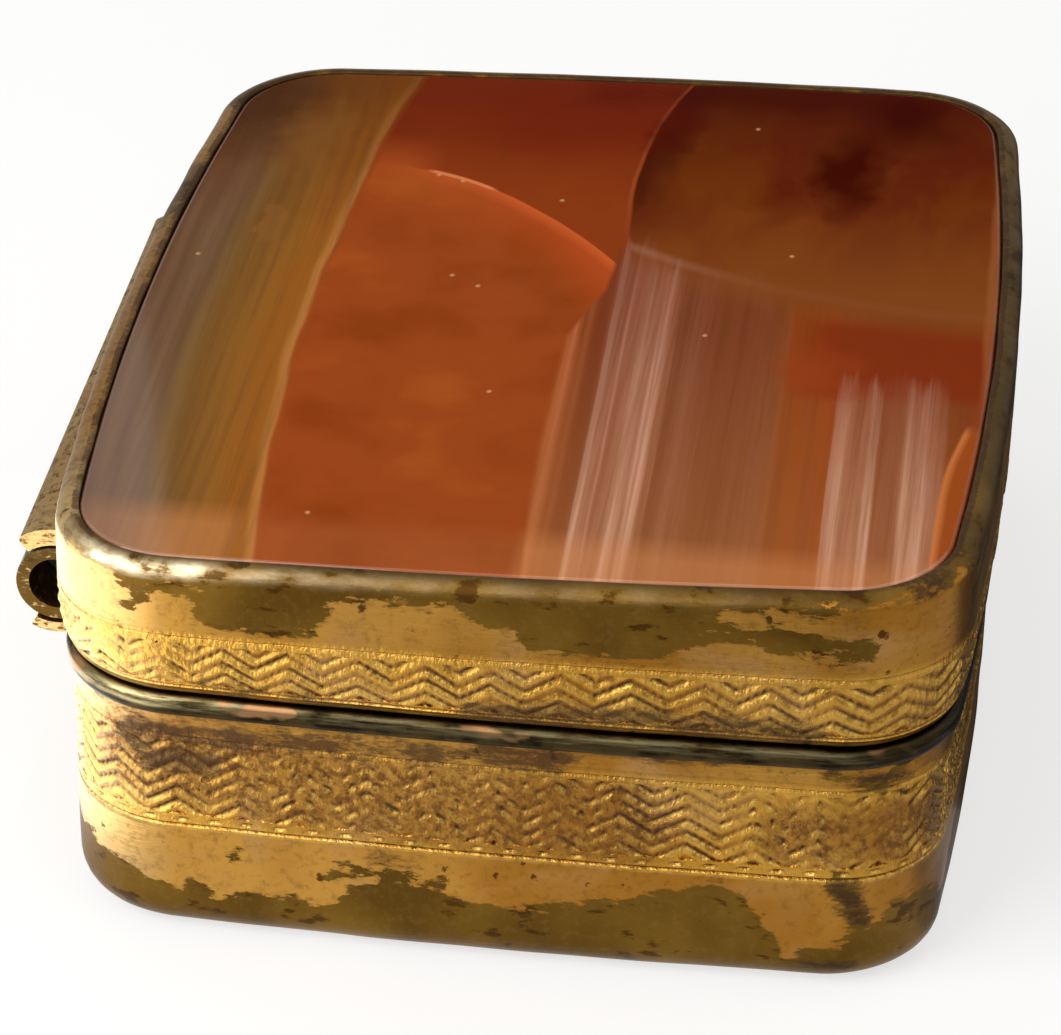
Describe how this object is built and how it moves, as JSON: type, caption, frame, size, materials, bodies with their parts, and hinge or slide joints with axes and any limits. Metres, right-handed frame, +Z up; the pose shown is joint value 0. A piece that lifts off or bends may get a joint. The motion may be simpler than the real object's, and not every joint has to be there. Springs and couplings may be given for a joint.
{
  "type": "hinged keepsake box",
  "caption": "Small gilt brass box with bowed sides, a hinged lid and a slab of banded agate set in the lid, for pills or keepsakes.",
  "frame": {"origin": "middle of the base's underside, midway between the bowed sides and between front and back", "axes": "+X from the hinge towards the opening side, +Y along the hinge, +Z up"},
  "size_m": [0.0453, 0.0526, 0.0212],
  "materials": {
    "gilt_wall": "gilt, worn and tarnished",
    "gilt_inside": "gilt, satin",
    "gilt_hinge": "gilt, worn and pitted",
    "worn_bead": "worn through to dark brass",
    "steel_pin": "drawn, dull",
    "agate": "polished",
    "cement": "matte"
  },
  "bodies": {
    "base": {"base_tub": "gilt_wall", "base_mouth_bead": "worn_bead", "base_collar": "gilt_inside", "base_hinge_trough": "gilt_hinge", "base_knuckle_1": "gilt_hinge", "base_knuckle_3": "gilt_hinge", "base_knuckle_5": "gilt_hinge", "hinge_pin": "steel_pin"},
    "lid": {"lid_frame": "gilt_wall", "agate_plaque": "agate", "stone_bedding": "cement", "stone_seat_ring": "gilt_inside", "lid_hinge_trough": "gilt_hinge", "hinge_cover_strip": "gilt_hinge", "lid_knuckle_2": "gilt_hinge", "lid_knuckle_4": "gilt_hinge"}
  },
  "joints": [
    {"name": "lid_hinge", "type": "hinge", "parent": "base", "child": "lid", "pos_m": [-0.0218, 0, 0.0125], "axis": [0, -1, 0], "range_deg": [0, 110]}
  ]
}
